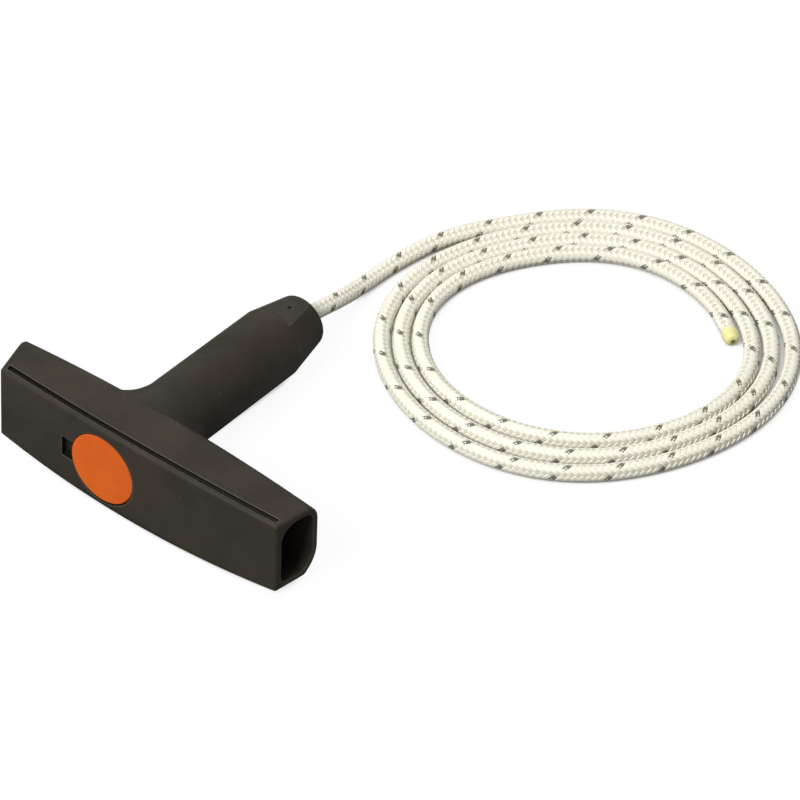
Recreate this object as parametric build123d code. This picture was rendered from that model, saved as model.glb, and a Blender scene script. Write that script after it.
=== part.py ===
"""A recoil starter handle with its rope, in millimetres, +Z up.

The grip is a T. It is drawn in its own frame first: X along the crossbar, Y from the flat
front back along the stem, Z up, and the origin where the stem's axis meets the front. It is
then laid on the ground, on the bar's underside and the stem's shoulder. The rope is drawn
where it lies. The part's origin is on the ground, under the middle of the grip.
"""
from build123d import *
from math import atan2, cos, degrees, pi, radians, sin, sqrt, tan
import os

# Crossbar
BAR_LENGTH = 91.0          # along the front, between its two end edges
BAR_OFFSET = 9.45           # middle of the bar, to one side of the stem's axis
BAR_RISE = 0.45            # and above it
BAR_HEIGHT = 24.9          # at its middle
BAR_HEIGHT_DROP = 2.0      # how far the top and the underside each come in at the ends
BAR_DEPTH = 17.7           # front to back at its middle
FRONT_BOW = 2.5            # how far the front's middle stands ahead of its ends
SHORT_BACK_BOW = 0.1       # how far the back has come in at the end of each arm
LONG_BACK_BOW = 1.1
SHORT_END_SLANT = 4.4      # how much further out the back of each end reaches
LONG_END_SLANT = 2.1
EDGE_RADIUS = 0.9          # along the front and all round each end
TOP_BACK_RADIUS = 4.4
LOW_BACK_RUN = 4.0         # lower back corner: bevelled by so much of the underside
LOW_BACK_RISE = 4.4        # and of the back
LOW_BACK_RADII = (10.0, 2.0)    # rounding of the bevel's upper and lower edge

# Groove along the top and the underside, just behind the front
GROOVE_LIP = 1.3           # thickness of the lip ahead of it
GROOVE_WIDTH = 1.5
GROOVE_DEPTH = 0.8
GROOVE_END = 1.4           # it stops this far before each end of the bar

# Hollow in each end of the bar
FRONT_WALL = 2.0
BACK_WALL = 1.75
SIDE_WALL = 1.7            # top and underside
POCKET_START = 16.0        # inner end of the hollow, from the stem's axis
POCKET_FRONT_RADII = (5.0, 2.4)    # at the top and at the bottom
POCKET_TOP_RADIUS = 3.0
POCKET_LOW_RUN = 3.0
POCKET_LOW_RISE = 3.3
POCKET_LOW_RADII = (8.3, 1.2)
MOUTH_RADIUS = 0.35        # inner edge of each open end

# Stem
STEM_ROOT_RADIUS = 10.0
STEM_SHOULDER_RADIUS = 9.75
STEM_END_RADIUS = 7.1
SHOULDER_PLACE = 65.3      # from the front
STEM_LENGTH = 78.4         # from the front to the stem's end
STEM_END_ROUND = 1.6
FLARE_RADIUS = 12.0        # hollow curve from the bar's back to each side of the stem
FLARE_TOP = 1.5            # how far it rises above the stem
FLARE_SECTIONS = 5
FLARE_SINK = 1.2           # it starts inside the back wall, and ends inside the stem
FLARE_END_SINK = 0.15
FLAT_SHOULDER_HEIGHT = 8.0 # height of the flats above the axis, at the shoulder
FLAT_END_HEIGHT = 6.7      # and at the end
DIMPLE_RADIUS = 0.9
DIMPLE_DEPTH = 0.35
DIMPLE_PLACE = 72.7

# Rope and its hole
ROPE_DIAMETER = 4.5
HOLE_DIAMETER = 5.6
HOLE_MOUTH_ROUND = 1.0

# Chamber in the stem, closed at the front by the cap
CHAMBER_RADIUS = 7.0
CHAMBER_END = 62.7
CAP_DIAMETER = 20.4
CAP_THICKNESS = 1.8
CAP_SINK = 0.25            # the cap's face behind the front
CAP_GAP = 0.15             # round the cap
CAP_EDGE_RADIUS = 0.35
SKIRT_GAP = 0.1
SKIRT_WALL = 1.3
SKIRT_LENGTH = 6.0
SKIRT_SLOT = 3.0
BEAD_HEIGHT = 0.3
BEAD_WIDTH = 0.8
BEAD_PLACE = 4.4           # behind the cap's seat
BEAD_GAP = 0.15
SLOT_WIDTH = 3.7           # pry slot beside the cap
SLOT_HEIGHT = 6.0
SLOT_DEPTH = 1.7

# Damper, thrust cup and knot
DAMPER_LENGTH = 26.0
DAMPER_GAP = 0.4           # to the chamber's wall
ROPE_GAP = 0.4             # between the rope and what it passes through
CUP_BASE = 1.5
CUP_RIM = 4.0
CUP_WALL = 1.0
CUP_GAP = 0.35
KNOT_DIAMETER = 10.0
KNOT_LENGTH = 11.0
KNOT_SEAT = 2.2            # the knot is cut flat this far up from its low end
TAIL_LENGTH = 4.0
JOIN_PLACE = 72.2          # inside the hole, where the un-coiled stretch begins
STRAIGHT_PLACE = 81.5      # the rope leaves the stem straight up to here

# Where the rope lies, from the stem's axis at the front: (x, y, height of its middle)
LEAD_POINTS = [
    (0.1, 92.6, 6.0),
    (-1.4, 104.2, 2.4),
    (-0.8, 115.7, 2.25),
    (3.0, 132.5, 2.25),
]

# Coil: a flat winding that runs inward. Its line and the spacing of its turns each swell in
# waves round the centre: (number of waves, height, direction of a crest)
COIL_CENTRE = (57.1, 121.0)
COIL_RADIUS = 52.7
COIL_WAVES = [(1, 0.57, 146.0), (2, 2.51, 37.7), (3, 0.24, 48.3), (4, 0.78, 25.0), (5, 0.16, 35.6)]
TURN_SPACING = 5.15
SPACING_WAVES = [(1, 0.6, -52.0), (2, 0.18, -80.6), (3, 0.15, 40.8), (4, 0.11, 27.3)]
COIL_START = 150.0         # degrees about the centre
COIL_TURNS = 3.3
COIL_STEPS = 24            # points for each turn

ROPE_RADIUS = ROPE_DIAMETER / 2
HALF_HEIGHT = BAR_HEIGHT / 2
REACH = 3 * BAR_LENGTH     # longer than the grip in any direction

# Resting angle: the line that touches the bar's underside and the stem's shoulder
TILT = degrees(atan2(
    HALF_HEIGHT - BAR_RISE - STEM_SHOULDER_RADIUS,
    SHOULDER_PLACE - (BAR_DEPTH - LOW_BACK_RUN - LOW_BACK_RADII[1] / 2),
))


def plan_arc(y_middle, low_bow, high_bow, x_low, x_high):
    """An arc seen from above; each bow is how far it comes in at the end of the front."""
    low, high = (
        (x, y_middle + bow * (2 * (x - BAR_OFFSET) / BAR_LENGTH) ** 2)
        for x, bow in ((x_low, low_bow), (x_high, high_bow))
    )
    return ThreePointArc(low, (BAR_OFFSET, y_middle), high)


def bar_plan(front_in, back_in, over):
    """The bar's outline from above, drawn in by its walls and run on past its ends."""
    x_low = BAR_OFFSET - BAR_LENGTH / 2 - over
    x_high = BAR_OFFSET + BAR_LENGTH / 2 + over
    front = plan_arc(front_in, FRONT_BOW, FRONT_BOW, x_low, x_high)
    back = plan_arc(
        BAR_DEPTH - back_in, -SHORT_BACK_BOW, -LONG_BACK_BOW,
        x_low - SHORT_END_SLANT, x_high + LONG_END_SLANT,
    )
    sides = [Line(front @ 1, back @ 1), Line(back @ 0, front @ 0)]
    return make_face([front, sides[0], back, sides[1]])


def bar_elevation(inset):
    """The bar's outline from the front, a little longer than the bar."""
    half = BAR_LENGTH / 2 + SHORT_END_SLANT
    middle = HALF_HEIGHT - inset
    end = middle - BAR_HEIGHT_DROP
    upper = ThreePointArc((-half, end), (0, middle), (half, end))
    lower = ThreePointArc((-half, -end), (0, -middle), (half, -end))
    sides = [Line(upper @ 0, lower @ 0), Line(upper @ 1, lower @ 1)]
    return Pos(BAR_OFFSET, BAR_RISE) * make_face([upper, sides[0], lower, sides[1]])


def across(face):
    """A front outline run right through the bar, from ahead of it to behind it."""
    return extrude(Plane.XZ * face, REACH / 2, both=True)


def long_edges(form):
    """The edges that run along the bar."""
    return form.edges().filter_by(lambda e: e.length > BAR_LENGTH / 2)


def front_edges(form):
    """The two of them at the front."""
    return long_edges(form).filter_by(lambda e: e.center().Y < BAR_DEPTH / 2)


def end_faces(form):
    """The flat faces at the bar's two ends."""
    flat = form.faces().filter_by(GeomType.PLANE)
    return flat.filter_by(
        lambda f: abs(f.normal_at().X) > 0.8 and abs(f.center().X - BAR_OFFSET) > BAR_LENGTH / 3
    )


def bar_form(front_in, back_in, height_in, over, top_radius, low_run, low_rise, low_radii):
    """Plan and elevation together, with the two long corners at the back taken off."""
    form = extrude(bar_plan(front_in, back_in, over), REACH / 2, both=True)
    form = form & across(bar_elevation(height_in))
    form = fillet(long_edges(form).sort_by(Axis.Y)[-2:].sort_by(Axis.Z)[-1], top_radius)
    back_low = long_edges(form).filter_by(lambda e: e.center().Z < 0).sort_by(Axis.Y)[-1]
    underside = form.faces().sort_by(Axis.Z)[0]
    form = chamfer(back_low, low_run, low_rise, reference=underside)
    bevel = long_edges(form).filter_by(lambda e: e.center().Z < 0).sort_by(Axis.Y)[-2:]
    lower, upper = bevel.sort_by(Axis.Z)
    form = fillet(upper, low_radii[0])
    lower = long_edges(form).filter_by(lambda e: e.center().Z < 0).sort_by(Axis.Z)
    lower = lower.filter_by(lambda e: e.center().Y > BAR_DEPTH / 2)[0]
    return fillet(lower, low_radii[1])


def turned(points):
    """A solid of revolution about the stem's axis, from (radius, place) points."""
    profile = make_face(Polyline(*points, close=True))
    return revolve(profile, Axis.Y)


def groove_cutter():
    """What is cut away for the grooves: a strip behind the lip, outside the inner outline."""
    ahead = bar_plan(GROOVE_LIP, 0, -GROOVE_END)
    behind = bar_plan(GROOVE_LIP + GROOVE_WIDTH, 0, GROOVE_END)
    strip = extrude(ahead - behind, REACH / 2, both=True)
    return strip - across(bar_elevation(GROOVE_DEPTH))


def pockets():
    """The two hollows, open at the bar's ends."""
    core = bar_form(
        FRONT_WALL, BACK_WALL, SIDE_WALL, SHORT_END_SLANT,
        POCKET_TOP_RADIUS, POCKET_LOW_RUN, POCKET_LOW_RISE, POCKET_LOW_RADII,
    )
    core = fillet(front_edges(core).sort_by(Axis.Z)[-1], POCKET_FRONT_RADII[0])
    core = fillet(front_edges(core).sort_by(Axis.Z)[0], POCKET_FRONT_RADII[1])
    return core - Box(2 * POCKET_START, REACH, REACH)


def crossbar():
    """The hollow bar with its grooves, rounded along the front and round its open ends."""
    bar = bar_form(
        0, 0, 0, 0, TOP_BACK_RADIUS, LOW_BACK_RUN, LOW_BACK_RISE, LOW_BACK_RADII
    )
    outer = front_edges(bar) + [edge for face in end_faces(bar) for edge in face.edges()]
    bar = fillet(outer, EDGE_RADIUS) - pockets()
    mouths = [wire for face in end_faces(bar) for wire in face.inner_wires()]
    bar = fillet([edge for wire in mouths for edge in wire.edges()], MOUTH_RADIUS)
    return bar - groove_cutter()


def stem_flare():
    """Elliptical sections that narrow from the bar's back to the round stem."""
    sections = []
    for step in range(FLARE_SECTIONS):
        angle = pi / 2 * step / (FLARE_SECTIONS - 1)
        place = BAR_DEPTH + FLARE_RADIUS * (1 - cos(angle)) - (0 if step else FLARE_SINK)
        share = 1 - sin(angle)
        side = stem_radius(place) + FLARE_RADIUS * share - FLARE_END_SINK
        low = stem_radius(place) - FLARE_END_SINK
        high = low + FLARE_TOP * share
        middle = (high - low) / 2
        section_plane = Plane((0, place, middle), x_dir=(1, 0, 0), z_dir=(0, 1, 0))
        sections.append(section_plane * Ellipse(side, (high + low) / 2))
    return loft(sections)


def stem_radius(place):
    """Radius of the tapered stem at a place behind the front."""
    share = (place - BAR_DEPTH) / (SHOULDER_PLACE - BAR_DEPTH)
    return STEM_ROOT_RADIUS + (STEM_SHOULDER_RADIUS - STEM_ROOT_RADIUS) * share


def stem():
    """Tapered stem with its flared root, coned end, and the flats on the cone."""
    start = BAR_DEPTH / 2
    body = turned([
        (0, start), (stem_radius(start), start), (STEM_SHOULDER_RADIUS, SHOULDER_PLACE),
        (STEM_END_RADIUS, STEM_LENGTH), (0, STEM_LENGTH),
    ])
    end_edge = body.edges().filter_by(GeomType.CIRCLE).sort_by(Axis.Y)[-1]
    body = fillet(end_edge, STEM_END_ROUND)
    slope = (FLAT_SHOULDER_HEIGHT - FLAT_END_HEIGHT) / (STEM_LENGTH - SHOULDER_PLACE)
    past = STEM_LENGTH + STEM_END_RADIUS
    low = FLAT_SHOULDER_HEIGHT - slope * (past - SHOULDER_PLACE)
    ramp = STEM_SHOULDER_RADIUS - FLAT_SHOULDER_HEIGHT
    wedge = make_face(Plane.YZ * Polyline(
        (SHOULDER_PLACE, STEM_SHOULDER_RADIUS), (SHOULDER_PLACE + ramp / 2, FLAT_SHOULDER_HEIGHT),
        (past, low), (past, STEM_SHOULDER_RADIUS), close=True,
    ))
    cutter = extrude(wedge, REACH / 2, both=True)
    body = body - cutter - mirror(cutter, Plane.XY)
    flat_height = FLAT_SHOULDER_HEIGHT - slope * (DIMPLE_PLACE - SHOULDER_PLACE)
    dimple = Pos(0, DIMPLE_PLACE, flat_height - DIMPLE_DEPTH) * Cone(
        DIMPLE_RADIUS / 2, DIMPLE_RADIUS, 2 * DIMPLE_DEPTH,
        align=(Align.CENTER, Align.CENTER, Align.MIN),
    )
    return body + stem_flare() - dimple


def chamber():
    """Cap seat, stepped chamber with its bead groove, and the rope's hole."""
    seat_radius = CAP_DIAMETER / 2 + CAP_GAP
    seat = CAP_SINK + CAP_THICKNESS
    bead_radius = CHAMBER_RADIUS - SKIRT_GAP + BEAD_HEIGHT + BEAD_GAP
    bead_low = seat + BEAD_PLACE - BEAD_WIDTH / 2 - BEAD_GAP
    bead_high = seat + BEAD_PLACE + BEAD_WIDTH / 2 + BEAD_GAP
    hole = HOLE_DIAMETER / 2
    space = turned([
        (0, -BAR_DEPTH), (seat_radius, -BAR_DEPTH), (seat_radius, seat), (CHAMBER_RADIUS, seat),
        (CHAMBER_RADIUS, bead_low), (bead_radius, bead_low), (bead_radius, bead_high),
        (CHAMBER_RADIUS, bead_high), (CHAMBER_RADIUS, CHAMBER_END), (hole, CHAMBER_END),
        (hole, STEM_LENGTH - HOLE_MOUTH_ROUND), (hole + HOLE_MOUTH_ROUND, STEM_LENGTH),
        (hole + HOLE_MOUTH_ROUND, STEM_LENGTH + BAR_DEPTH), (0, STEM_LENGTH + BAR_DEPTH),
    ])
    slot = Pos(-CAP_DIAMETER / 2 - SLOT_WIDTH + CAP_GAP, 0, 0) * Box(
        2 * SLOT_WIDTH, 2 * (SLOT_DEPTH + CAP_SINK), SLOT_HEIGHT,
        align=(Align.MIN, Align.CENTER, Align.CENTER),
    )
    return space + slot


def make_grip():
    """The whole moulding."""
    return crossbar() + stem() - chamber()


def make_cap():
    """Round cap with a slotted skirt that snaps into the chamber."""
    seat = CAP_SINK + CAP_THICKNESS
    disc_radius = CAP_DIAMETER / 2
    disc = turned([(0, CAP_SINK), (disc_radius, CAP_SINK), (disc_radius, seat), (0, seat)])
    disc = fillet(disc.edges().filter_by(GeomType.CIRCLE).sort_by(Axis.Y)[0], CAP_EDGE_RADIUS)
    outer = CHAMBER_RADIUS - SKIRT_GAP
    inner = outer - SKIRT_WALL
    end = seat + SKIRT_LENGTH
    bead_low = seat + BEAD_PLACE - BEAD_WIDTH / 2
    bead_high = seat + BEAD_PLACE + BEAD_WIDTH / 2
    skirt = turned([
        (inner, seat), (outer, seat), (outer, bead_low), (outer + BEAD_HEIGHT, bead_low),
        (outer + BEAD_HEIGHT, bead_high - BEAD_HEIGHT), (outer, bead_high), (outer, end),
        (inner, end),
    ])
    slots = Pos(0, (seat + end) / 2, 0) * (
        Box(REACH, SKIRT_LENGTH, SKIRT_SLOT) + Box(SKIRT_SLOT, SKIRT_LENGTH, REACH)
    )
    return disc + (skirt - slots)


def make_damper():
    """Rubber sleeve on the chamber's floor, with bevelled ends."""
    outer = CHAMBER_RADIUS - DAMPER_GAP
    inner = ROPE_RADIUS + ROPE_GAP
    bevel = (outer - inner) / 4
    start = CHAMBER_END - DAMPER_LENGTH
    return turned([
        (inner, start), (outer - bevel, start), (outer, start + bevel),
        (outer, CHAMBER_END - bevel), (outer - bevel, CHAMBER_END), (inner, CHAMBER_END),
    ])


def make_thrust_cup():
    """Cup that spreads the knot's load on the damper."""
    outer = CHAMBER_RADIUS - CUP_GAP
    inner = ROPE_RADIUS + ROPE_GAP
    end = CHAMBER_END - DAMPER_LENGTH
    floor = end - CUP_BASE
    rim = floor - CUP_RIM
    return turned([
        (inner, floor), (outer - CUP_WALL, floor), (outer - CUP_WALL, rim), (outer, rim),
        (outer, end), (inner, end),
    ])


def make_knot():
    """Stopper knot on the cup's floor, its tail, and the rope behind it."""
    floor = CHAMBER_END - DAMPER_LENGTH - CUP_BASE
    middle = floor - KNOT_LENGTH / 2 + KNOT_SEAT
    half = make_face([
        EllipticalCenterArc(
            (0, middle), KNOT_DIAMETER / 2, KNOT_LENGTH / 2, start_angle=-90, arc_size=180
        ),
        Line((0, middle + KNOT_LENGTH / 2), (0, middle - KNOT_LENGTH / 2)),
    ])
    lump = revolve(half, Axis.Y)
    lump = split(lump, Plane((0, floor, 0), z_dir=(0, 1, 0)), keep=Keep.BOTTOM)
    tail_end = middle - KNOT_LENGTH / 2 - TAIL_LENGTH
    rope = turned([
        (0, tail_end), (ROPE_RADIUS, tail_end), (ROPE_RADIUS, JOIN_PLACE), (0, JOIN_PLACE),
    ])
    return lump + rope


def laid(shape):
    """A piece drawn in the grip's frame, moved to where it lies."""
    return Pos(*SHIFT) * (Rot(-TILT, 0, 0) * shape)


def on_axis(place):
    """A point of the stem's axis, where the grip lies."""
    angle = radians(TILT)
    return Vector(0, place * cos(angle), -place * sin(angle)) + Vector(*SHIFT)


def on_ground(x, y, height):
    """A point of the rope, given from the stem's axis at the front."""
    return Vector(x + SHIFT[0], y + SHIFT[1], height)


def swell(waves, angle):
    """Sum of the waves in a direction from the coil's centre."""
    return sum(
        height * cos(count * (angle - radians(crest))) for count, height, crest in waves
    )


def coil_point(turn, side=0.0):
    """A point of the winding after so many turns, moved outward by side."""
    angle = radians(COIL_START) - 2 * pi * turn
    spacing = TURN_SPACING + swell(SPACING_WAVES, angle)
    radius = COIL_RADIUS + swell(COIL_WAVES, angle) - spacing * turn + side
    x = COIL_CENTRE[0] + radius * cos(angle)
    y = COIL_CENTRE[1] + radius * sin(angle)
    return on_ground(x, y, ROPE_RADIUS)


def lead_route():
    """Points of the un-coiled rope, from inside the stem to the coil."""
    points = [on_axis(JOIN_PLACE), on_axis(STRAIGHT_PLACE)]
    points += [on_ground(*point) for point in LEAD_POINTS]
    return points + [coil_point(0)]


def corner_radii(points):
    """The largest arc that each corner's two runs allow."""
    radii = []
    for before, corner, after in zip(points, points[1:], points[2:]):
        run_in, run_out = corner - before, after - corner
        turn = radians(run_in.get_angle(run_out))
        radii.append(0.45 * min(run_in.length, run_out.length) / tan(turn / 2))
    return radii


def make_lead():
    """Tube along the un-coiled stretch: straight runs joined by tangent arcs."""
    points = lead_route()
    radii = corner_radii(points)
    print("rope radii", [round(radius, 1) for radius in radii])
    path = FilletPolyline(*points, radius=radii)
    section = Plane(points[0], z_dir=points[1] - points[0]) * Circle(ROPE_RADIUS)
    tube = sweep(section, path=path)
    print("rope run", round(path.length, 1), "volume ratio",
          round(tube.volume / (pi * ROPE_RADIUS**2 * path.length), 4))
    return tube


def make_coil():
    """One solid of the winding's outer shape, with a step where the rope comes in."""
    start = coil_point(0)
    heading = (start - lead_route()[-2]).normalized()
    inward = Vector(heading.Y, -heading.X, 0)
    spacing = (coil_point(1) - start).length
    first = start - inward * ROPE_RADIUS
    last = start + inward * (spacing - ROPE_RADIUS)
    outer = [first]
    outer += [coil_point(step / COIL_STEPS, ROPE_RADIUS) for step in range(1, COIL_STEPS)]
    outer.append(last)
    inner = [
        coil_point(COIL_TURNS - 1 + step / COIL_STEPS, -ROPE_RADIUS)
        for step in range(COIL_STEPS + 1)
    ]
    drop = Pos(0, 0, -ROPE_RADIUS)
    outside = make_face([drop * Spline(*outer), drop * Line(last, first)])
    inside = make_face([drop * Spline(*inner), drop * Line(inner[-1], inner[0])])
    ring = extrude(outside - inside, ROPE_DIAMETER)
    return ring


def grip_shift():
    """How far the tilted grip moves, to stand on the ground about the origin."""
    box = (Rot(-TILT, 0, 0) * GRIP).bounding_box()
    middle = box.center()
    return (-middle.X, -middle.Y, -box.min.Z)


GRIP = make_grip()
SHIFT = grip_shift()

NODES = {
    "grip_body": laid(GRIP),
    "front_cap": laid(make_cap()),
    "damper": laid(make_damper()),
    "thrust_cup": laid(make_thrust_cup()),
    "rope_knot": laid(make_knot()),
    "rope_lead": make_lead(),
    "rope_coil": make_coil(),
}

print("tilt", round(TILT, 3), "shift", [round(value, 3) for value in SHIFT])
for point in lead_route():
    print("route", [round(value, 3) for value in point])

os.makedirs("parts", exist_ok=True)
for name, solid in NODES.items():
    export_step(solid, f"parts/{name}.step")
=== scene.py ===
"""The looks of a recoil starter handle and its braided rope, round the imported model."""
import bpy
import bmesh
import math
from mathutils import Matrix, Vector


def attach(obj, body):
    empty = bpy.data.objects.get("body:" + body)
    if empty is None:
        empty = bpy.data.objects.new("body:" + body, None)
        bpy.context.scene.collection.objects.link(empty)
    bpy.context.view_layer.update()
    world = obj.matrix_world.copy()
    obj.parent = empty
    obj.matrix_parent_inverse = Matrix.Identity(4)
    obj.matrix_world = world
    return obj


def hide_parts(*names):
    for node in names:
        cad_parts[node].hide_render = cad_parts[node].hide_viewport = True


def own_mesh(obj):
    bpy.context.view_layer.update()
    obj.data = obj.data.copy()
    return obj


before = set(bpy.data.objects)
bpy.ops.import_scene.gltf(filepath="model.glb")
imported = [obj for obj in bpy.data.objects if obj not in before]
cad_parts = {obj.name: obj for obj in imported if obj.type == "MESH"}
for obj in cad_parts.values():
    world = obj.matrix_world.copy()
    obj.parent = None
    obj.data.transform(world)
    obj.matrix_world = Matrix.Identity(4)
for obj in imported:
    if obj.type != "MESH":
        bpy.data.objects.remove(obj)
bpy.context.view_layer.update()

MM = 0.001

# Camera: where it looks, from where, and how much it takes in
VIEW_CENTRE = (0.023832, 0.03895, 0.0)
VIEW_DISTANCE = 2.0
VIEW_AZIMUTH = 39.61
VIEW_ELEVATION = 42.49
FOCAL_SHARE = 9.825          # focal length over the frame's width
SENSOR = 36.0

# Stem: the line that the rope leaves along, and the damper on it
STEM_AXIS = Vector((0, 0.99909, -0.04273))
CHAMBER_END = Vector((-8.378, 23.592, 9.859)) * MM
DAMPER_LENGTH = 26.0
DAMPER_RADIUS = 6.6
DAMPER_BORE = 2.65
DAMPER_RINGS = 4

# Rope, as the model has it; the coil's places are in millimetres and degrees
ROPE_DIAMETER = 4.5 * MM
ROPE_RADIUS = ROPE_DIAMETER / 2
LEAD = [
    (-8.378, 33.083, 9.453), (-8.378, 42.374, 9.056), (-8.278, 53.549, 6.0),
    (-9.778, 65.149, 2.4), (-9.178, 76.649, 2.25), (-5.378, 93.449, 2.25),
]
COIL_CENTRE = (48.722, 81.949)
COIL_RADIUS = 52.7
COIL_WAVES = [(1, 0.57, 146.0), (2, 2.51, 37.7), (3, 0.24, 48.3), (4, 0.78, 25.0), (5, 0.16, 35.6)]
TURN_SPACING = 5.15
SPACING_WAVES = [(1, 0.6, -52.0), (2, 0.18, -80.6), (3, 0.15, 40.8), (4, 0.11, 27.3)]
COIL_START = 150.0
COIL_TURNS = 3.296
COIL_STEPS = 24
LOOSE_TURN, LOOSE_REACH, LOOSE_GAP = 1.37, 0.12, 0.25   # where the second turn lies off the first

# Braid: sixteen carriers, eight each way, two yarns on each
CARRIERS = 8
PITCH = 13.5 * MM
CORE_RADIUS = 1.75 * MM
CARRIER_RADIUS = 1.995 * MM   # middle of the over and under wave
CARRIER_SWING = 0.12 * MM
CARRIER_WIDTH = 1.28 * MM
CARRIER_HEIGHT = 0.26 * MM
STEPS_PER_PITCH = 44
BRAID_ROLL = math.radians(45)
CORE_TIP_SHARE = 0.4          # the core's radius at the free end, drawn in under the melted end

# Free end: the yarns are melted together over a few millimetres
SEAL_LENGTH = 4.6 * MM
SEAL_SHRINK = 0.17
SEAL_CUT = 0.4                # shares of the sealed length: where the carriers stop
SEAL_DRAWN, SEAL_FREE = 0.8, 1.25    # and between which they draw in

# Moulded plastics: how sharply an edge turns where the painted edge highlight and the glossier edge
# start and are full, and the share of open space close by, within so many metres, where the painted
# shade in hollows starts and is full
EDGE_PAINT_AND_GLOSS_FROM, EDGE_PAINT_AND_GLOSS_FULL = 0.003, 0.06
CLOSE_BY = 0.003
HOLLOW_SHADE_FROM, HOLLOW_SHADE_FULL = 0.97, 0.66

# Light: the world and three lamps, as name, place, aim, side in metres, watts and colour
WARM_WHITE = (1.0, 0.985, 0.96)
SOFT_WHITE = (1.0, 0.99, 0.975)
WORLD_STRENGTH = 0.26
LAMPS = [
    ("Key", (-0.05, -0.78, 0.95), (0, 0, 0), 0.5, 15.6, WARM_WHITE),
    ("Overhead", (-0.15, 0.1, 1.4), (0.02, 0.04, 0), 1.2, 7.6, SOFT_WHITE),
    ("Back", (-0.75, 1.0, 0.4), (0, 0.02, 0.01), 0.6, 1.6, SOFT_WHITE),
]

# Floor: what the camera sees of it, how bright it glows, and what it throws back
FLOOR_SEEN = (0.8, 0.8, 0.8)
FLOOR_BOUNCE = (0.3, 0.3, 0.3)
FLOOR_GLOW = 0.94
FLOOR_SIDE = 8.0


def node_at(tree, kind, **values):
    """A new node with its properties, and its inputs by name, set."""
    node = tree.nodes.new(kind)
    for name, value in values.items():
        if hasattr(node, name):
            setattr(node, name, value)
        else:
            node.inputs[name.replace("_", " ")].default_value = value
    return node


def feed(tree, value, socket):
    """A link to a socket, or a plain value on it."""
    if isinstance(value, bpy.types.NodeSocket):
        tree.links.new(value, socket)
    else:
        socket.default_value = value


def sum_of(tree, operation, *values):
    """A Math node on sockets or numbers; returns its output."""
    node = tree.nodes.new("ShaderNodeMath")
    node.operation = operation
    for place, value in enumerate(values):
        feed(tree, value, node.inputs[place])
    return node.outputs[0]


def ramp_of(tree, value, low, high, first=0.0, last=1.0):
    """A clamped run from one value to another as a socket goes from low to high."""
    node = tree.nodes.new("ShaderNodeMapRange")
    node.interpolation_type = "SMOOTHSTEP"
    for place, given in enumerate((value, low, high, first, last)):
        feed(tree, given, node.inputs[place])
    return node.outputs[0]


def vector_of(tree, operation, first, second=None, factor=None):
    """A Vector Math node on sockets; returns its vector output."""
    node = tree.nodes.new("ShaderNodeVectorMath")
    node.operation = operation
    feed(tree, first, node.inputs[0])
    if second is not None:
        feed(tree, second, node.inputs[1])
    if factor is not None:
        feed(tree, factor, node.inputs["Scale"])
    return node.outputs[0]


def link_in(shown):
    """Puts an object into the scene and returns it."""
    bpy.context.scene.collection.objects.link(shown)
    return shown


def swell(waves, angle):
    """Sum of the waves in a direction from the coil's centre."""
    return sum(
        height * math.cos(count * (angle - math.radians(crest))) for count, height, crest in waves
    )


def coil_point(turn):
    """A control point of the winding after so many turns, in millimetres."""
    angle = math.radians(COIL_START) - 2 * math.pi * turn
    spacing = TURN_SPACING + swell(SPACING_WAVES, angle)
    loose = LOOSE_GAP * math.exp(-(((turn - LOOSE_TURN) / LOOSE_REACH) ** 2))
    radius = COIL_RADIUS + swell(COIL_WAVES, angle) - spacing * turn - loose
    radius /= 0.75 + 0.25 * math.cos(2 * math.pi / COIL_STEPS)   # the spline runs inside its points
    x = COIL_CENTRE[0] + radius * math.cos(angle)
    y = COIL_CENTRE[1] + radius * math.sin(angle)
    return (x, y, ROPE_RADIUS / MM)


def rope_core():
    """The rope's own line, with a plain core under the braid."""
    steps = round(COIL_TURNS * COIL_STEPS)
    points = LEAD + [coil_point(COIL_TURNS * step / steps) for step in range(steps + 1)]
    curve = bpy.data.curves.new("rope_core", "CURVE")
    curve.dimensions = "3D"
    curve.resolution_u = 12
    line = curve.splines.new("NURBS")
    line.points.add(len(points) - 1)
    for spot, point in zip(line.points, points):
        spot.co = (*(Vector(point) * MM), 1.0)
    line.points[-1].radius = CORE_TIP_SHARE
    line.order_u = 3
    line.use_endpoint_u = True
    return link_in(bpy.data.objects.new("rope_core", curve))


def mesh_from(shown, name):
    """The evaluated object as a plain mesh object of its own."""
    graph = bpy.context.evaluated_depsgraph_get()
    mesh = bpy.data.meshes.new_from_object(shown.evaluated_get(graph))
    mesh.name = name
    return link_in(bpy.data.objects.new(name, mesh))


def carrier_profile():
    """Section of one carrier, seen along it: two yarns side by side, out along X."""
    half, high = CARRIER_WIDTH / 2, CARRIER_HEIGHT / 2
    spots = [
        (-high, -half), (0.7 * high, -0.8 * half), (high, -0.4 * half), (0.4 * high, 0),
        (high, 0.4 * half), (0.7 * high, 0.8 * half), (-high, half),
    ]
    curve = bpy.data.curves.new("carrier_profile", "CURVE")
    curve.dimensions = "3D"
    line = curve.splines.new("POLY")
    line.points.add(len(spots) - 1)
    for point, spot in zip(line.points, spots):
        point.co = (*spot, 0, 1)
    line.use_cyclic_u = True
    return link_in(bpy.data.objects.new("carrier_profile", curve))


def kept_attribute(tree, geometry, name, value):
    """Stores a number on the points of a geometry under a name."""
    note = tree.nodes.new("GeometryNodeStoreNamedAttribute")
    note.data_type = "FLOAT"
    note.inputs["Name"].default_value = name
    tree.links.new(geometry, note.inputs["Geometry"])
    tree.links.new(value, note.inputs["Value"])
    return note.outputs["Geometry"]


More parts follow.
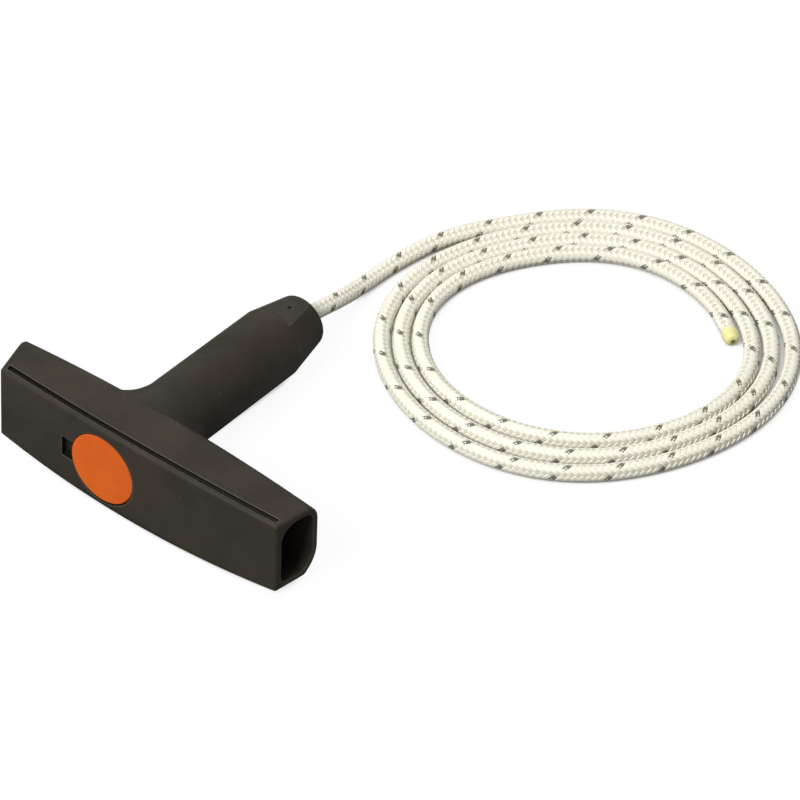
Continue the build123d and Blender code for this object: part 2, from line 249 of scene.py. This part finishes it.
def carrier_tree():
    """Geometry nodes that lead one carrier round the rope, over two and under two."""
    tree = bpy.data.node_groups.new("Braid carrier", "GeometryNodeTree")
    face = tree.interface
    face.new_socket("Geometry", in_out="INPUT", socket_type="NodeSocketGeometry")
    for name, kind in [
        ("Profile", "NodeSocketObject"), ("Material", "NodeSocketMaterial"),
        ("Steps", "NodeSocketInt"), ("Hand", "NodeSocketFloat"), ("Number", "NodeSocketFloat"),
        ("Carriers", "NodeSocketFloat"), ("Pitch", "NodeSocketFloat"),
        ("Radius", "NodeSocketFloat"), ("Swing", "NodeSocketFloat"),
        ("Seal", "NodeSocketFloat"), ("Shrink", "NodeSocketFloat"), ("Roll", "NodeSocketFloat"),
    ]:
        face.new_socket(name, in_out="INPUT", socket_type=kind)
    face.new_socket("Geometry", in_out="OUTPUT", socket_type="NodeSocketGeometry")
    link = tree.links.new
    given = tree.nodes.new("NodeGroupInput").outputs
    result = tree.nodes.new("NodeGroupOutput")

    run = tree.nodes.new("GeometryNodeMeshToCurve")
    link(given["Geometry"], run.inputs["Mesh"])
    whole = tree.nodes.new("GeometryNodeCurveLength")
    link(run.outputs["Curve"], whole.inputs["Curve"])
    cut = tree.nodes.new("GeometryNodeTrimCurve")
    cut.mode = "LENGTH"
    link(run.outputs["Curve"], cut.inputs["Curve"])
    stop = sum_of(tree, "MULTIPLY", given["Seal"], SEAL_CUT)
    end = sum_of(tree, "SUBTRACT", whole.outputs[0], stop)
    link(end, next(item for item in cut.inputs if item.name == "End" and item.enabled))
    resample = tree.nodes.new("GeometryNodeResampleCurve")
    link(cut.outputs["Curve"], resample.inputs["Curve"])
    link(given["Steps"], resample.inputs["Count"])
    normal = tree.nodes.new("GeometryNodeInputNormal").outputs[0]
    tangent = tree.nodes.new("GeometryNodeInputTangent").outputs[0]
    along = tree.nodes.new("GeometryNodeSplineParameter").outputs["Length"]

    kept = tree.nodes.new("GeometryNodeCaptureAttribute")
    kept.capture_items.new("VECTOR", "Out")
    kept.capture_items.new("FLOAT", "Along")
    kept.capture_items.new("FLOAT", "Lift")
    link(resample.outputs["Curve"], kept.inputs["Geometry"])

    # Turn about the rope, and the direction outward there
    turns = sum_of(tree, "DIVIDE", along, given["Pitch"])
    share = sum_of(tree, "DIVIDE", given["Number"], given["Carriers"])
    hand_turns = sum_of(tree, "MULTIPLY", turns, given["Hand"])
    angle = sum_of(tree, "MULTIPLY", sum_of(tree, "ADD", hand_turns, share), 2 * math.pi)
    angle = sum_of(tree, "ADD", angle, given["Roll"])
    side = vector_of(tree, "CROSS_PRODUCT", tangent, normal)
    up_part = vector_of(tree, "SCALE", normal, factor=sum_of(tree, "COSINE", angle))
    side_part = vector_of(tree, "SCALE", side, factor=sum_of(tree, "SINE", angle))
    outward = vector_of(tree, "ADD", up_part, side_part)

    # Over two and under two: the wave flips with the hand and steps with the number
    crossings = sum_of(tree, "MULTIPLY", turns, sum_of(tree, "MULTIPLY", given["Carriers"], 2.0))
    step = sum_of(tree, "MULTIPLY", sum_of(tree, "MULTIPLY", given["Number"], 2.0), given["Hand"])
    offset = sum_of(tree, "MULTIPLY", given["Hand"], -1.0)
    offset = sum_of(tree, "ADD", offset, 0.5)
    phase = sum_of(tree, "ADD", sum_of(tree, "ADD", crossings, step), offset)
    wave = sum_of(tree, "COSINE", sum_of(tree, "MULTIPLY", phase, math.pi / 2))
    lift = ramp_of(tree, wave, -0.75, 0.75, -1.0, 1.0)

    # At the free end the melted yarns draw in
    left = sum_of(tree, "SUBTRACT", whole.outputs[0], along)
    near = sum_of(tree, "MULTIPLY", given["Seal"], SEAL_DRAWN)
    far = sum_of(tree, "MULTIPLY", given["Seal"], SEAL_FREE)
    free = ramp_of(tree, left, near, far)
    pull = sum_of(tree, "MULTIPLY", sum_of(tree, "SUBTRACT", 1.0, free), given["Shrink"])
    reach = sum_of(tree, "ADD", given["Radius"], sum_of(tree, "MULTIPLY", lift, given["Swing"]))
    reach = sum_of(tree, "MULTIPLY", reach, sum_of(tree, "SUBTRACT", 1.0, pull))

    link(outward, kept.inputs["Out"])
    link(along, kept.inputs["Along"])
    link(lift, kept.inputs["Lift"])
    place = tree.nodes.new("GeometryNodeSetPosition")
    link(kept.outputs["Geometry"], place.inputs["Geometry"])
    link(vector_of(tree, "SCALE", outward, factor=reach), place.inputs["Offset"])
    face_out = tree.nodes.new("GeometryNodeSetCurveNormal")
    face_out.mode = "FREE"
    link(place.outputs["Geometry"], face_out.inputs["Curve"])
    link(kept.outputs["Out"], face_out.inputs["Normal"])
    noted = kept_attribute(tree, face_out.outputs["Curve"], "along", kept.outputs["Along"])
    noted = kept_attribute(tree, noted, "lift", kept.outputs["Lift"])

    section = tree.nodes.new("GeometryNodeObjectInfo")
    link(given["Profile"], section.inputs["Object"])
    across = tree.nodes.new("GeometryNodeSplineParameter").outputs["Factor"]
    outline = kept_attribute(tree, section.outputs["Geometry"], "across", across)

    sweep = tree.nodes.new("GeometryNodeCurveToMesh")
    sweep.inputs["Fill Caps"].default_value = True
    link(noted, sweep.inputs["Curve"])
    link(outline, sweep.inputs["Profile Curve"])
    smooth = tree.nodes.new("GeometryNodeSetShadeSmooth")
    link(sweep.outputs["Mesh"], smooth.inputs["Geometry"])
    real = tree.nodes.new("GeometryNodeRealizeInstances")
    link(smooth.outputs["Geometry"], real.inputs["Geometry"])
    finish = tree.nodes.new("GeometryNodeSetMaterial")
    link(real.outputs["Geometry"], finish.inputs["Geometry"])
    link(given["Material"], finish.inputs["Material"])
    link(finish.outputs["Geometry"], result.inputs["Geometry"])
    return tree


def set_inputs(modifier, tree, **values):
    """Sets a modifier's inputs by the names on the tree's interface."""
    for item in tree.interface.items_tree:
        if item.in_out == "INPUT" and item.name.lower() in values:
            modifier[item.identifier] = values[item.name.lower()]


def carrier(line, tree, profile, hand, number, material, length):
    """One carrier of the braid, as a mesh piece."""
    guide = link_in(bpy.data.objects.new("carrier_guide", line.data))
    modifier = guide.modifiers.new("Braid carrier", "NODES")
    modifier.node_group = tree
    set_inputs(
        modifier, tree, profile=profile, material=material,
        steps=round(length / PITCH * STEPS_PER_PITCH), hand=float(hand), number=float(number),
        carriers=float(CARRIERS), pitch=PITCH, radius=CARRIER_RADIUS, swing=CARRIER_SWING,
        seal=SEAL_LENGTH, shrink=SEAL_SHRINK, roll=BRAID_ROLL,
    )
    bpy.context.view_layer.update()
    way = "left" if hand < 0 else "right"
    piece = mesh_from(guide, f"rope_carrier_{way}_{number + 1}")
    bpy.data.objects.remove(guide)
    return piece


def turned(name, outline, place, axis, sides, ripple=()):
    """A closed mesh turned round an axis from (distance along it, radius) pairs in millimetres.

    A radius of nothing closes it on the axis; without one the outline closes on itself."""
    axis = Vector(axis).normalized()
    first = axis.orthogonal().normalized()
    second = axis.cross(first)
    form = bmesh.new()
    layer = form.verts.layers.float.new("along")
    rings = []
    for reach, radius in outline:
        middle = Vector(place) + axis * reach * MM
        ring = []
        for number in range(sides if radius else 1):
            angle = 2 * math.pi * number / sides
            uneven = sum(height * math.cos(count * (angle + reach)) for count, height in ripple)
            out = first * math.cos(angle) + second * math.sin(angle)
            ring.append(form.verts.new(middle + out * radius * (1 + uneven) * MM))
            ring[-1][layer] = reach * MM
        rings.append(ring)
    pairs = list(zip(rings, rings[1:]))
    if all(radius for _, radius in outline):
        pairs.append((rings[-1], rings[0]))
    for low, high in pairs:
        for number in range(sides):
            after = (number + 1) % sides
            places = ((low, number), (low, after), (high, after), (high, number))
            corners = [ring[place % len(ring)] for ring, place in places]
            form.faces.new(list(dict.fromkeys(corners)))
    for face in form.faces:
        face.smooth = True
    bmesh.ops.recalc_face_normals(form, faces=form.faces)
    mesh = bpy.data.meshes.new(name)
    form.to_mesh(mesh)
    form.free()
    return link_in(bpy.data.objects.new(name, mesh))


def damper_sleeve():
    """The rubber sleeve: shallow rings outside, rounded at both ends."""
    outline = [(0.0, DAMPER_BORE + 0.5), (0.0, DAMPER_RADIUS - 0.7), (0.2, DAMPER_RADIUS - 0.2)]
    waists = DAMPER_RINGS * 12
    for step in range(waists + 1):
        share = step / waists
        dip = 0.35 * (1 - math.cos(2 * math.pi * DAMPER_RINGS * share)) / 2
        outline.append((0.7 + (DAMPER_LENGTH - 1.4) * share, DAMPER_RADIUS - dip))
    outline += [
        (DAMPER_LENGTH - 0.2, DAMPER_RADIUS - 0.2), (DAMPER_LENGTH, DAMPER_RADIUS - 0.7),
        (DAMPER_LENGTH, DAMPER_BORE + 0.5), (DAMPER_LENGTH - 0.5, DAMPER_BORE), (0.5, DAMPER_BORE),
    ]
    return turned("damper_sleeve", outline, CHAMBER_END, -STEM_AXIS, 48)


def sealed_end(place, ahead):
    """The melted end of the rope, a little uneven, with a rounded cut face."""
    length = SEAL_LENGTH / MM
    outline = [
        (-length, 0), (-length, 1.8), (-length * 0.88, 2.08), (-length * 0.7, 2.18), (-2.4, 2.2),
        (-1.5, 2.15), (-0.8, 1.98), (-0.25, 1.68), (0.05, 1.3), (0.2, 0.9), (0.26, 0.5),
        (0.27, 0.25), (0.27, 0),
    ]
    uneven = [(2, 0.015), (3, 0.012), (7, 0.006)]
    piece = turned("rope_sealed_end", outline, place, ahead, 40, ripple=uneven)
    finish = piece.modifiers.new("Round", "SUBSURF")
    finish.levels = finish.render_levels = 1
    rounded = mesh_from(piece, "rope_sealed_end_round")
    bpy.data.objects.remove(piece)
    rounded.name = "rope_sealed_end"
    return rounded


def shader_group(name, inputs, outputs):
    """An empty shader group with number inputs and their values, and outputs by kind."""
    tree = bpy.data.node_groups.new(name, "ShaderNodeTree")
    for label, value in inputs:
        socket = tree.interface.new_socket(label, in_out="INPUT", socket_type="NodeSocketFloat")
        socket.default_value = value
    for label, kind in outputs:
        tree.interface.new_socket(label, in_out="OUTPUT", socket_type=kind)
    return tree, tree.nodes.new("NodeGroupInput").outputs, tree.nodes.new("NodeGroupOutput").inputs


def noise_at(tree, place, scale, detail=2.0, roughness=0.55):
    """Noise between 0 and 1 at a place."""
    node = node_at(tree, "ShaderNodeTexNoise", Detail=detail, Roughness=roughness)
    feed(tree, place, node.inputs["Vector"])
    feed(tree, scale, node.inputs["Scale"])
    return node.outputs["Fac"]


def grain_group():
    """Fine moulded texture as a height, a slow mottle, and specks of dust."""
    tree, given, result = shader_group(
        "Moulded grain", [("Grain", 3500.0), ("Slow", 90.0), ("Specks", 900.0)],
        [("Height", "NodeSocketFloat"), ("Mottle", "NodeSocketFloat"), ("Dust", "NodeSocketFloat")],
    )
    spot = tree.nodes.new("ShaderNodeTexCoord").outputs["Object"]
    fine = noise_at(tree, spot, given["Grain"], 2.0, 0.5)
    rough = noise_at(tree, spot, sum_of(tree, "MULTIPLY", given["Grain"], 0.3), 2.0, 0.5)
    fine, rough = sum_of(tree, "MULTIPLY", fine, 0.6), sum_of(tree, "MULTIPLY", rough, 0.4)
    feed(tree, sum_of(tree, "ADD", fine, rough), result["Height"])
    slow = noise_at(tree, spot, given["Slow"], 4.0, 0.6)
    feed(tree, ramp_of(tree, slow, 0.3, 0.7), result["Mottle"])
    few = noise_at(tree, spot, given["Specks"], 1.0, 0.5)
    feed(tree, ramp_of(tree, few, 0.76, 0.84), result["Dust"])
    return tree


def edge_group():
    """Rounded edges: the normal softened over a radius, and a mask of the edges."""
    tree, given, result = shader_group(
        "Soft edges", [("Radius", 0.0002), ("Low", 0.02), ("High", 0.25)],
        [("Normal", "NodeSocketVector"), ("Edge", "NodeSocketFloat")],
    )
    bevel = tree.nodes.new("ShaderNodeBevel")
    bevel.samples = 6
    feed(tree, given["Radius"], bevel.inputs["Radius"])
    flat = tree.nodes.new("ShaderNodeNewGeometry").outputs["Normal"]
    near = tree.nodes.new("ShaderNodeVectorMath")
    near.operation = "DOT_PRODUCT"
    feed(tree, bevel.outputs[0], near.inputs[0])
    feed(tree, flat, near.inputs[1])
    turned_by = sum_of(tree, "SUBTRACT", 1.0, near.outputs["Value"])
    feed(tree, bevel.outputs[0], result["Normal"])
    feed(tree, ramp_of(tree, turned_by, given["Low"], given["High"]), result["Edge"])
    return tree


def yarn_group():
    """Filaments along a carrier, from the places along and across it that it keeps."""
    tree, given, result = shader_group(
        "Yarn filaments",
        [("Length", 1100.0), ("Count", 34.0), ("Soil", 60.0), ("Under", -1.0), ("Over", 0.4)],
        [("Height", "NodeSocketFloat"), ("Shade", "NodeSocketFloat"), ("Soil", "NodeSocketFloat")],
    )
    along = node_at(tree, "ShaderNodeAttribute", attribute_name="along").outputs["Fac"]
    across = node_at(tree, "ShaderNodeAttribute", attribute_name="across").outputs["Fac"]
    lift = node_at(tree, "ShaderNodeAttribute", attribute_name="lift").outputs["Fac"]
    place = tree.nodes.new("ShaderNodeCombineXYZ")
    feed(tree, sum_of(tree, "MULTIPLY", along, given["Length"]), place.inputs[0])
    feed(tree, sum_of(tree, "MULTIPLY", across, given["Count"]), place.inputs[1])
    strands = noise_at(tree, place.outputs[0], 1.0, 2.0, 0.6)
    feed(tree, strands, result["Height"])
    floats = ramp_of(tree, lift, given["Under"], given["Over"])
    body = ramp_of(tree, strands, 0.25, 0.6, 0.8, 1.0)
    feed(tree, sum_of(tree, "MULTIPLY", floats, body), result["Shade"])
    spot = tree.nodes.new("ShaderNodeTexCoord").outputs["Object"]
    soil = noise_at(tree, spot, given["Soil"], 3.0, 0.6)
    feed(tree, ramp_of(tree, soil, 0.4, 0.75), result["Soil"])
    return tree


def placed(tree, group, **values):
    """A shader group in a material, with its inputs set."""
    node = tree.nodes.new("ShaderNodeGroup")
    node.node_tree = group
    for name, value in values.items():
        node.inputs[name].default_value = value
    return node.outputs


def blend_of(tree, share, first, second):
    """A colour between two, each a socket or three numbers."""
    node = tree.nodes.new("ShaderNodeMix")
    node.data_type = "RGBA"
    feed(tree, share, node.inputs["Factor"])
    for socket, colour in (("A_Color", first), ("B_Color", second)):
        target = next(item for item in node.inputs if item.identifier == socket)
        feed(tree, (*colour, 1) if isinstance(colour, tuple) else colour, target)
    return next(item for item in node.outputs if item.identifier == "Result_Color")


def bare_material(name, **values):
    """A material and its shader, with plain values on the shader's sockets."""
    material = bpy.data.materials.new(name)
    material.use_nodes = True
    shader = material.node_tree.nodes["Principled BSDF"]
    for socket, value in values.items():
        shader.inputs[socket.replace("_", " ")].default_value = value
    return material, material.node_tree, shader


def bumped(tree, shader, height, depth, normal=None, strength=1.0):
    """Leads a height, so many metres deep, into the shader's normal."""
    bump = node_at(tree, "ShaderNodeBump", Strength=strength, Distance=depth)
    feed(tree, height, bump.inputs["Height"])
    if normal is not None:
        feed(tree, normal, bump.inputs["Normal"])
    feed(tree, bump.outputs[0], shader.inputs["Normal"])


def moulding(name, colour, deep, edge, dust, finish, grain, slow, depth, radius, **values):
    """A moulding: two colours in a slow mottle, edges painted in a tone of their own (lighter as a
    painted highlight on the dark mouldings, darker on the orange cap), dust, painted shade in
    hollows, and grain.
    """
    material, tree, shader = bare_material(name, **values)
    surface = placed(tree, GRAIN, Grain=grain, Slow=slow)
    edges = placed(tree, SOFT_EDGES, Radius=radius, Low=EDGE_PAINT_AND_GLOSS_FROM, High=EDGE_PAINT_AND_GLOSS_FULL)
    body = blend_of(tree, surface["Mottle"], deep, colour)
    # Edges in their own tone: a painted highlight on the dark and uncoloured mouldings, darker on
    # the orange cap
    body = blend_of(tree, sum_of(tree, "MULTIPLY", edges["Edge"], 0.6), body, edge)
    body = blend_of(tree, sum_of(tree, "MULTIPLY", surface["Dust"], 0.35), body, dust)
    # Painted shade: darker where the surface is hemmed in, in the groove and other hollows
    hollow = node_at(tree, "ShaderNodeAmbientOcclusion", samples=8, Distance=CLOSE_BY)
    hollow_shade = ramp_of(tree, hollow.outputs["AO"], HOLLOW_SHADE_FROM, HOLLOW_SHADE_FULL)
    body = blend_of(tree, hollow_shade, body, tuple(0.2 * part for part in deep))
    feed(tree, body, shader.inputs["Base Color"])
    gloss = ramp_of(tree, surface["Mottle"], 0.0, 1.0, finish + 0.06, finish - 0.04)
    gloss = sum_of(tree, "SUBTRACT", gloss, sum_of(tree, "MULTIPLY", edges["Edge"], 0.1))
    feed(tree, gloss, shader.inputs["Roughness"])
    bumped(tree, shader, surface["Height"], depth, edges["Normal"], 0.7)
    return material


def braided_yarn(name, colour, low, soil, roughness, under=-1.0, over=0.4, **values):
    """A yarn: one colour on its floats, another where it dips under, with its filaments; a darker
    second colour is painted shade.
    """
    material, tree, shader = bare_material(name, Roughness=roughness, **values)
    threads = placed(tree, FILAMENTS, Under=under, Over=over)
    body = blend_of(tree, threads["Shade"], low, colour)
    body = blend_of(tree, sum_of(tree, "MULTIPLY", threads["Soil"], 0.25), body, soil)
    feed(tree, body, shader.inputs["Base Color"])
    bumped(tree, shader, threads["Height"], 0.00006, strength=0.8)
    return material


def knotted_yarn():
    """The braid pulled into the knot: crossing ridges on the piece's own coordinates, with painted
    shade between them.
    """
    material, tree, shader = bare_material("Knotted yarn", Roughness=0.65, Sheen_Weight=0.15)
    spot = tree.nodes.new("ShaderNodeTexCoord").outputs["Object"]
    ridges = []
    for way in (1, -1):
        lean = tree.nodes.new("ShaderNodeMapping")
        lean.inputs["Rotation"].default_value = (0, 0, math.radians(40) * way)
        feed(tree, spot, lean.inputs["Vector"])
        bands = node_at(
            tree, "ShaderNodeTexWave", Scale=280.0, Distortion=1.5, Detail=2.0, Detail_Scale=2.0
        )
        feed(tree, lean.outputs[0], bands.inputs["Vector"])
        ridges.append(bands.outputs["Fac"])
    height = sum_of(tree, "MAXIMUM", *ridges)
    # Painted shade: darker between the ridges
    body = blend_of(tree, height, (0.66, 0.62, 0.5), (0.87, 0.855, 0.75))
    surface = placed(tree, GRAIN, Grain=2500.0, Slow=300.0)
    soil = sum_of(tree, "MULTIPLY", surface["Mottle"], 0.3)
    body = blend_of(tree, soil, body, (0.72, 0.67, 0.53))
    feed(tree, body, shader.inputs["Base Color"])
    bumped(tree, shader, height, 0.00025)
    return material


def melted_yarn():
    """Yellowed, melted yarn: a little glossy, with a dark spot in the middle of the cut."""
    material, tree, shader = bare_material("Melted yarn")
    surface = placed(tree, GRAIN, Grain=1400.0, Slow=500.0)
    along = node_at(tree, "ShaderNodeAttribute", attribute_name="along").outputs["Fac"]
    body = blend_of(tree, surface["Mottle"], (0.7, 0.665, 0.27), (0.79, 0.765, 0.4))
    body = blend_of(tree, ramp_of(tree, along, -0.0044, -0.0022), (0.76, 0.73, 0.57), body)
    body = blend_of(tree, ramp_of(tree, along, 0.0002, 0.00027), body, (0.2, 0.14, 0.045))
    feed(tree, body, shader.inputs["Base Color"])
    feed(tree, ramp_of(tree, surface["Mottle"], 0.0, 1.0, 0.5, 0.38), shader.inputs["Roughness"])
    bumped(tree, shader, surface["Height"], 0.00008)
    return material


def white_floor():
    """A plain floor, which shows as the white background and keeps the object's shadow."""
    mesh = bpy.data.meshes.new("floor")
    half = FLOOR_SIDE / 2
    corners = [(-half, -half, 0), (half, -half, 0), (half, half, 0), (-half, half, 0)]
    mesh.from_pydata(corners, [], [(0, 1, 2, 3)])
    floor = link_in(bpy.data.objects.new("floor", mesh))
    material, tree, shader = bare_material("White floor", Roughness=0.9, Specular_IOR_Level=0.0)
    glow = node_at(tree, "ShaderNodeEmission", Strength=1.0)
    seen = tree.nodes.new("ShaderNodeLightPath").outputs["Is Camera Ray"]
    near = node_at(tree, "ShaderNodeAmbientOcclusion", samples=8, Distance=CLOSE_BY)
    clear = ramp_of(tree, near.outputs["AO"], 0.1, 0.5)
    feed(tree, blend_of(tree, seen, FLOOR_BOUNCE, FLOOR_SEEN), shader.inputs["Base Color"])
    mix = tree.nodes.new("ShaderNodeMixShader")
    share = sum_of(tree, "MULTIPLY", seen, FLOOR_GLOW)
    feed(tree, sum_of(tree, "MULTIPLY", share, clear), mix.inputs[0])
    feed(tree, shader.outputs[0], mix.inputs[1])
    feed(tree, glow.outputs[0], mix.inputs[2])
    feed(tree, mix.outputs[0], tree.nodes["Material Output"].inputs["Surface"])
    floor.data.materials.append(material)


def area_lamp(name, place, aim, size, power, colour):
    """A soft square lamp at a place, pointed at another."""
    data = bpy.data.lights.new(name, "AREA")
    data.size = size
    data.energy = power
    data.color = colour
    lamp = link_in(bpy.data.objects.new(name, data))
    lamp.location = place
    lamp.rotation_euler = (Vector(aim) - Vector(place)).to_track_quat("-Z", "Y").to_euler()


def studio():
    """World, lamps and colour management."""
    world = bpy.data.worlds.new("Studio")
    world.use_nodes = True
    tree = world.node_tree
    ground = tree.nodes["Background"]
    ground.inputs["Color"].default_value = (*WARM_WHITE, 1)
    ground.inputs["Strength"].default_value = WORLD_STRENGTH
    white = node_at(tree, "ShaderNodeBackground", Strength=1.0)
    white.inputs["Color"].default_value = (1, 1, 1, 1)
    path = tree.nodes.new("ShaderNodeLightPath")
    mix = tree.nodes.new("ShaderNodeMixShader")
    feed(tree, path.outputs["Is Camera Ray"], mix.inputs[0])
    feed(tree, ground.outputs[0], mix.inputs[1])
    feed(tree, white.outputs[0], mix.inputs[2])
    feed(tree, mix.outputs[0], tree.nodes["World Output"].inputs["Surface"])
    bpy.context.scene.world = world
    for lamp in LAMPS:
        area_lamp(*lamp)
    bpy.context.scene.view_settings.view_transform = "Standard"


def camera():
    """The photograph's viewpoint."""
    data = bpy.data.cameras.new("Camera")
    data.sensor_fit = "HORIZONTAL"
    data.sensor_width = SENSOR
    data.lens = SENSOR * FOCAL_SHARE
    data.clip_end = 20
    turn, rise = math.radians(VIEW_AZIMUTH), math.radians(VIEW_ELEVATION)
    back = Vector((
        math.sin(turn) * math.cos(rise), -math.cos(turn) * math.cos(rise), math.sin(rise)
    ))
    view = link_in(bpy.data.objects.new("Camera", data))
    view.location = Vector(VIEW_CENTRE) + VIEW_DISTANCE * back
    view.rotation_euler = (-back).to_track_quat("-Z", "Y").to_euler()
    bpy.context.scene.camera = view


def dress_node(name, material):
    """Gives a carried-over node its material."""
    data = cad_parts[name].data
    data.materials.clear()
    data.materials.append(material)


camera()
core = rope_core()
studio()
white_floor()

GRAIN = grain_group()
SOFT_EDGES = edge_group()
FILAMENTS = yarn_group()
# Each moulding's colours: its own, a darker mottle, its painted edge tone, and its dust
GRIP_PLASTIC = moulding(
    "Black moulding", (0.035, 0.03, 0.022), (0.026, 0.022, 0.0162), (0.14, 0.124, 0.098),
    (0.16, 0.15, 0.13), finish=0.56, grain=3200.0, slow=60.0, depth=0.00006, radius=0.0006,
    Specular_IOR_Level=0.16,
)
CAP_PLASTIC = moulding(
    "Orange moulding", (0.655, 0.118, 0.012), (0.6, 0.102, 0.01), (0.2, 0.034, 0.006),
    (0.95, 0.4, 0.15), finish=0.42, grain=3600.0, slow=140.0, depth=0.00004, radius=0.0004,
    Specular_IOR_Level=0.12,
)
CUP_PLASTIC = moulding(
    "Uncoloured moulding", (0.6, 0.57, 0.47), (0.52, 0.49, 0.4), (0.68, 0.66, 0.58),
    (0.4, 0.37, 0.3), finish=0.42, grain=3000.0, slow=160.0, depth=0.00004, radius=0.0003,
)
RUBBER = moulding(
    "Black rubber", (0.03, 0.029, 0.027), (0.021, 0.02, 0.019), (0.055, 0.053, 0.05),
    (0.2, 0.19, 0.17), finish=0.68, grain=2200.0, slow=120.0, depth=0.00008, radius=0.0003,
)
# The cream yarn's darker second colour is painted shade where it dips under crossing yarns
CREAM_YARN = braided_yarn(
    "Cream yarn", (0.79, 0.78, 0.685), (0.6, 0.575, 0.475), (0.7, 0.665, 0.54), 0.62,
    Sheen_Weight=0.15,
)
TRACER_YARN = braided_yarn(
    "Grey tracer yarn", (0.13, 0.128, 0.1), (0.5, 0.48, 0.4), (0.22, 0.215, 0.17), 0.7,
    under=-0.25, over=0.55,
)
MELTED = melted_yarn()

dress_node("grip_body", GRIP_PLASTIC)
dress_node("front_cap", CAP_PLASTIC)
dress_node("thrust_cup", CUP_PLASTIC)
dress_node("rope_knot", knotted_yarn())

sleeve = damper_sleeve()
sleeve.data.materials.append(RUBBER)
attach(sleeve, "handle")
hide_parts("damper")
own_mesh(sleeve)

line = mesh_from(core, "rope_line_bare")
spots = [vertex.co.copy() for vertex in line.data.vertices]
ROPE_LENGTH = sum((after - before).length for before, after in zip(spots, spots[1:]))
print("rope length", round(ROPE_LENGTH, 4))
tree = carrier_tree()
profile = carrier_profile()
on_rope = []
for hand in (-1, 1):
    for number in range(CARRIERS):
        yarn = TRACER_YARN if (hand, number) == (-1, 0) else CREAM_YARN
        on_rope.append(carrier(line, tree, profile, hand, number, yarn, ROPE_LENGTH))
end = sealed_end(spots[-1], spots[-1] - spots[-2])
end.data.materials.clear()
end.data.materials.append(MELTED)
on_rope.append(end)
bpy.data.objects.remove(profile)
bpy.data.objects.remove(line)
core.data.bevel_depth = CORE_RADIUS
core.data.bevel_resolution = 3
core.data.use_fill_caps = True
core.data.materials.append(CREAM_YARN)
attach(core, "rope_line")
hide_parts("rope_lead", "rope_coil")
for piece in on_rope:
    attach(piece, "rope_line")

bpy.context.view_layer.update()
